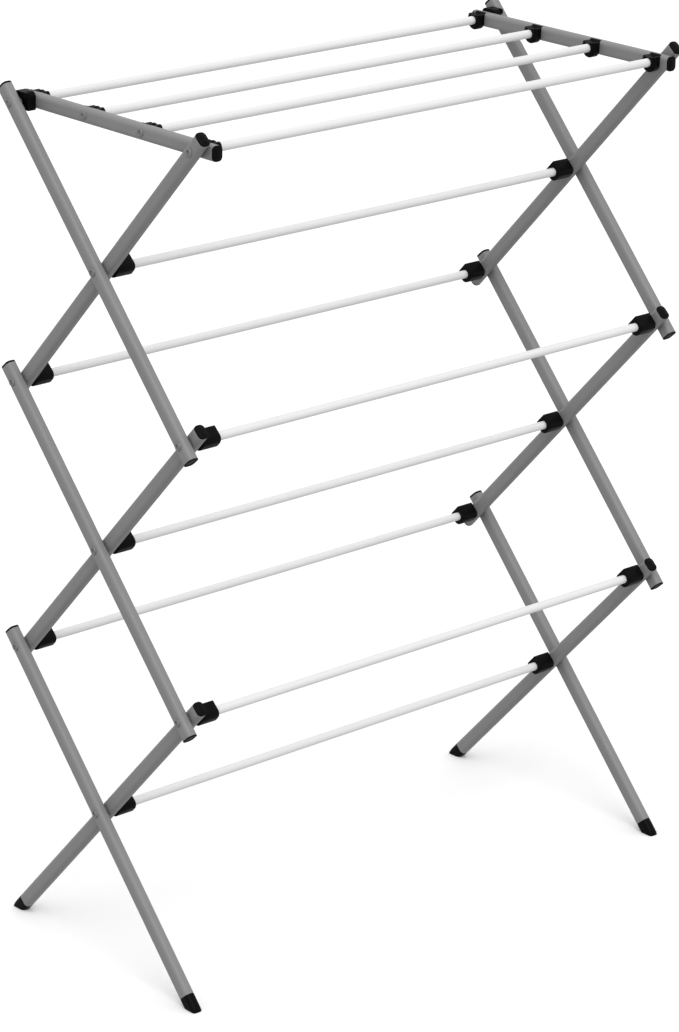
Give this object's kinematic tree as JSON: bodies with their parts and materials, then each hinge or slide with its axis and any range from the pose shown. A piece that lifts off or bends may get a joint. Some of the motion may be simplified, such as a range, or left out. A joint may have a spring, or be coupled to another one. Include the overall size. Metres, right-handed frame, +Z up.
{
  "type": "clothes drying rack",
  "caption": "Free-standing accordion clothes drying rack: scissor side frames of grey flat oval tube joined by white rods, with a level hinged top rack that latches on pegs.",
  "frame": {"origin": "on the floor under the middle of the rack", "axes": "+X runs along the rods to the rack's right side, +Y to the rear, where the latch hooks are, +Z up"},
  "size_m": [0.743, 0.3478, 0.9849],
  "materials": {
    "grey_tube": "satin grey powder coat on steel tube",
    "white_rod": "smooth white coating on steel rod",
    "black_plastic": "moulded black plastic, slightly satin",
    "zinc_rivet": "dull zinc plated tubular rivets"
  },
  "bodies": {
    "lower_crossing": {"lower_crossing_rod": "white_rod", "lower_crossing_rivets": "zinc_rivet"},
    "lower_outer": {"left_lower_outer_leg": "grey_tube", "right_lower_outer_leg": "grey_tube", "lower_outer_caps": "black_plastic", "left_front_foot": "black_plastic", "right_front_foot": "black_plastic"},
    "lower_inner": {"left_lower_inner_leg": "grey_tube", "right_lower_inner_leg": "grey_tube", "lower_inner_caps": "black_plastic", "left_rear_foot": "black_plastic", "right_rear_foot": "black_plastic", "lower_front_rod": "white_rod", "lower_front_sockets": "black_plastic", "lower_front_rivets": "zinc_rivet", "lower_crossing_sockets": "black_plastic"},
    "middle_outer": {"left_middle_outer_leg": "grey_tube", "right_middle_outer_leg": "grey_tube", "middle_outer_caps": "black_plastic"},
    "middle_inner": {"left_middle_inner_leg": "grey_tube", "right_middle_inner_leg": "grey_tube", "middle_inner_caps": "black_plastic", "middle_front_rod": "white_rod", "middle_front_sockets": "black_plastic", "middle_front_rivets": "zinc_rivet", "middle_crossing_rod": "white_rod", "middle_crossing_sockets": "black_plastic", "middle_crossing_rivets": "zinc_rivet", "middle_rear_rod": "white_rod", "middle_rear_sockets": "black_plastic", "middle_rear_rivets": "zinc_rivet"},
    "upper_outer": {"left_upper_outer_leg": "grey_tube", "right_upper_outer_leg": "grey_tube", "upper_outer_caps": "black_plastic", "latch_pegs": "zinc_rivet"},
    "upper_inner": {"left_upper_inner_leg": "grey_tube", "right_upper_inner_leg": "grey_tube", "upper_inner_caps": "black_plastic", "upper_crossing_rod": "white_rod", "upper_crossing_sockets": "black_plastic", "upper_crossing_rivets": "zinc_rivet", "upper_rear_rod": "white_rod", "upper_rear_sockets": "black_plastic", "upper_rear_rivets": "zinc_rivet"},
    "top_pivots": {"top_rod_front": "white_rod", "top_pivot_rivets": "zinc_rivet"},
    "top_rack": {"left_top_bar": "grey_tube", "right_top_bar": "grey_tube", "top_bar_caps": "black_plastic", "top_bar_rivets": "zinc_rivet", "left_latch_hook": "black_plastic", "right_latch_hook": "black_plastic", "top_clips_front": "black_plastic", "top_clips_mid_front": "black_plastic", "top_clips_mid_rear": "black_plastic", "top_clips_rear": "black_plastic", "top_rod_mid_front": "white_rod", "top_rod_mid_rear": "white_rod", "top_rod_rear": "white_rod"}
  },
  "joints": [
    {"name": "fold", "type": "hinge", "parent": "lower_crossing", "child": "lower_outer", "pos_m": [0, 0, 0.18055], "axis": [1, 0, 0], "range_deg": [0, 39]},
    {"name": "lower_inner_fold", "type": "hinge", "parent": "lower_crossing", "child": "lower_inner", "pos_m": [0, 0, 0.18055], "axis": [1, 0, 0], "range_deg": [-39, 0]},
    {"name": "middle_outer_fold", "type": "hinge", "parent": "lower_inner", "child": "middle_outer", "pos_m": [0, -0.14295, 0.3371], "axis": [1, 0, 0], "range_deg": [0, 78]},
    {"name": "middle_inner_fold", "type": "hinge", "parent": "lower_outer", "child": "middle_inner", "pos_m": [0, 0.14295, 0.3371], "axis": [1, 0, 0], "range_deg": [-78, 0]},
    {"name": "upper_outer_fold", "type": "hinge", "parent": "middle_inner", "child": "upper_outer", "pos_m": [0, -0.14295, 0.65021], "axis": [1, 0, 0], "range_deg": [0, 78]},
    {"name": "upper_inner_fold", "type": "hinge", "parent": "middle_outer", "child": "upper_inner", "pos_m": [0, 0.14295, 0.65021], "axis": [1, 0, 0], "range_deg": [-78, 0]},
    {"name": "top_level", "type": "hinge", "parent": "upper_inner", "child": "top_pivots", "pos_m": [0, -0.14295, 0.96332], "axis": [1, 0, 0], "range_deg": [0, 39]},
    {"name": "rack_swing", "type": "hinge", "parent": "top_pivots", "child": "top_rack", "pos_m": [0, -0.14295, 0.96332], "axis": [1, 0, 0], "range_deg": [0, 255]}
  ],
  "couplings": [
    {"joint": "lower_inner_fold", "follows": "fold", "ratio": -1},
    {"joint": "middle_outer_fold", "follows": "fold", "ratio": 2},
    {"joint": "middle_inner_fold", "follows": "fold", "ratio": -2},
    {"joint": "upper_outer_fold", "follows": "fold", "ratio": 2},
    {"joint": "upper_inner_fold", "follows": "fold", "ratio": -2},
    {"joint": "top_level", "follows": "fold", "ratio": 1}
  ]
}
